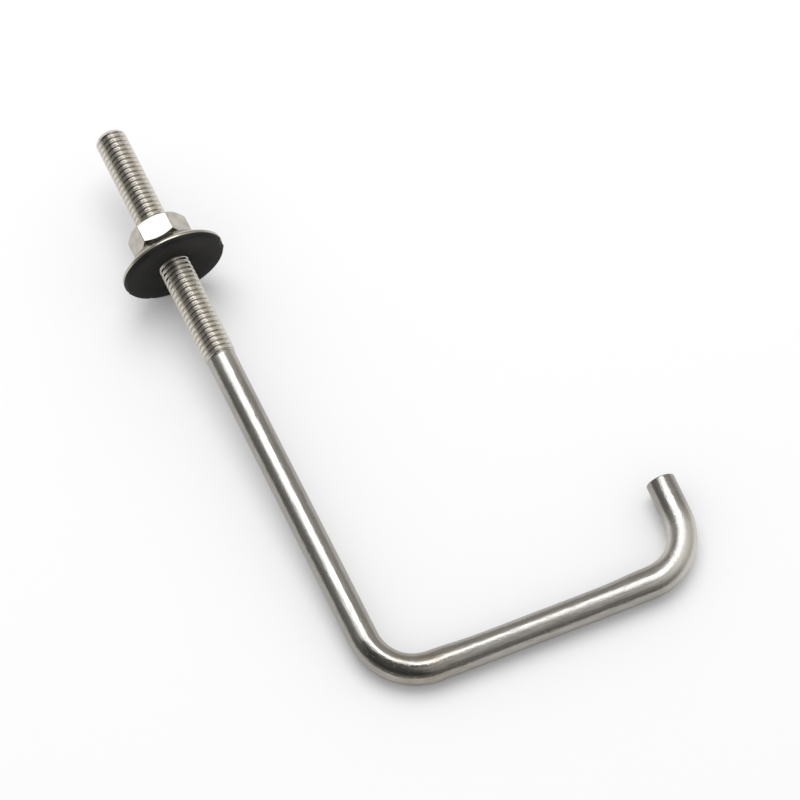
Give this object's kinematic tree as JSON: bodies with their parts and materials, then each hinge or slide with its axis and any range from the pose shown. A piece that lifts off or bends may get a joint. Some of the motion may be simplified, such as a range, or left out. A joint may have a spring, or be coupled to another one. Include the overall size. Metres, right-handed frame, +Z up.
{
  "type": "hook bolt",
  "caption": "Square-bent steel hook bolt with a threaded leg, a hexagon nut and a dished sealing washer faced with rubber.",
  "frame": {"origin": "under the middle of the bounding box, on the surface that the part lies on", "axes": "+Y along the threaded leg towards its tip, +X along the cross leg towards the short leg, +Z up from the surface"},
  "size_m": [0.0766, 0.1212, 0.0196],
  "materials": {
    "rod_steel": "bright drawn stainless steel, satin, with fine drawing lines and bending marks",
    "nut_steel": "cold-formed and polished stainless steel, smooth and bright",
    "washer_steel": "pressed stainless sheet, bright, with a bare polished rim",
    "seal_rubber": "moulded black synthetic rubber, matt, with small nicks on its rim"
  },
  "bodies": {
    "hook": {"hook_rod": "rod_steel"},
    "washer": {"washer_plate": "washer_steel", "rubber_seal": "seal_rubber"},
    "nut": {"hex_nut": "nut_steel"}
  },
  "joints": [
    {"name": "washer_slide", "type": "slide", "parent": "hook", "child": "washer", "axis": [-0.0523, 0.9955, 0.0794], "range_m": [-0.024, 0.02077]},
    {"name": "nut_turn", "type": "hinge", "parent": "washer", "child": "nut", "pos_m": [-0.0287, 0.03473, 0.01007], "axis": [-0.0523, 0.9955, 0.0794], "range_deg": [-8641, 7480]}
  ],
  "couplings": [
    {"joint": "nut_turn", "follows": "washer_slide", "rad_per_m": 6283.2}
  ]
}
